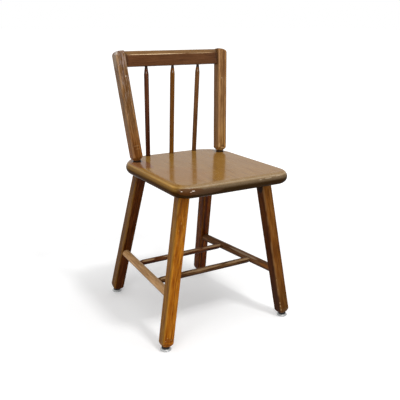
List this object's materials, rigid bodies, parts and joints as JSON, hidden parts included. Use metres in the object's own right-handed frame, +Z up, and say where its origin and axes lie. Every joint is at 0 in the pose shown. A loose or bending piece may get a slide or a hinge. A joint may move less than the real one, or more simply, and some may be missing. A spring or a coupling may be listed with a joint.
{
  "type": "wooden side chair",
  "caption": "Small wooden side chair with a thick round-edged seat, splayed square legs, round stretchers, leaning square posts, a flat top rail, thin spindles and furniture glides.",
  "frame": {"origin": "floor level, midway between the left and right sides and between the front of the seat and the back of the rear feet", "axes": "+Z up from the floor; -Y towards the front of the chair, where a sitter's knees point; +X towards the right of someone who stands in front of it and looks at it"},
  "size_m": [0.4216, 0.4561, 0.7549],
  "materials": {
    "varnished_seat_wood": "glossy tan-brown varnish over stain, worn along the edges",
    "orange_brown_wood": "glossy orange-brown varnish with dark streaks and small dents",
    "brown_wood": "glossy brown varnish with lighter worn arrises",
    "dark_brown_wood": "dark red-brown stain under varnish",
    "dry_greyed_wood": "brown stain worn to dry, greyish open grain",
    "worn_light_wood": "varnish rubbed down to light tan wood",
    "glide_steel": "dull silver-grey plated steel",
    "glide_rubber": "matte black rubber"
  },
  "bodies": {
    "root": {"seat": "varnished_seat_wood", "leg_front_left": "orange_brown_wood", "leg_front_right": "brown_wood", "leg_rear_left": "dark_brown_wood", "leg_rear_right": "dark_brown_wood", "side_stretcher_left": "worn_light_wood", "side_stretcher_right": "brown_wood", "cross_stretcher_front": "brown_wood", "cross_stretcher_rear": "brown_wood", "post_left": "dry_greyed_wood", "post_right": "brown_wood", "top_rail": "brown_wood", "spindle_left": "dark_brown_wood", "spindle_middle": "orange_brown_wood", "spindle_right": "brown_wood", "glide_base_front_left": "glide_steel", "glide_cushion_front_left": "glide_rubber", "glide_nail_front_left": "glide_steel", "glide_base_front_right": "glide_steel", "glide_cushion_front_right": "glide_rubber", "glide_nail_front_right": "glide_steel", "glide_base_rear_left": "glide_steel", "glide_cushion_rear_left": "glide_rubber", "glide_nail_rear_left": "glide_steel", "glide_base_rear_right": "glide_steel", "glide_cushion_rear_right": "glide_rubber", "glide_nail_rear_right": "glide_steel"}
  },
  "joints": []
}
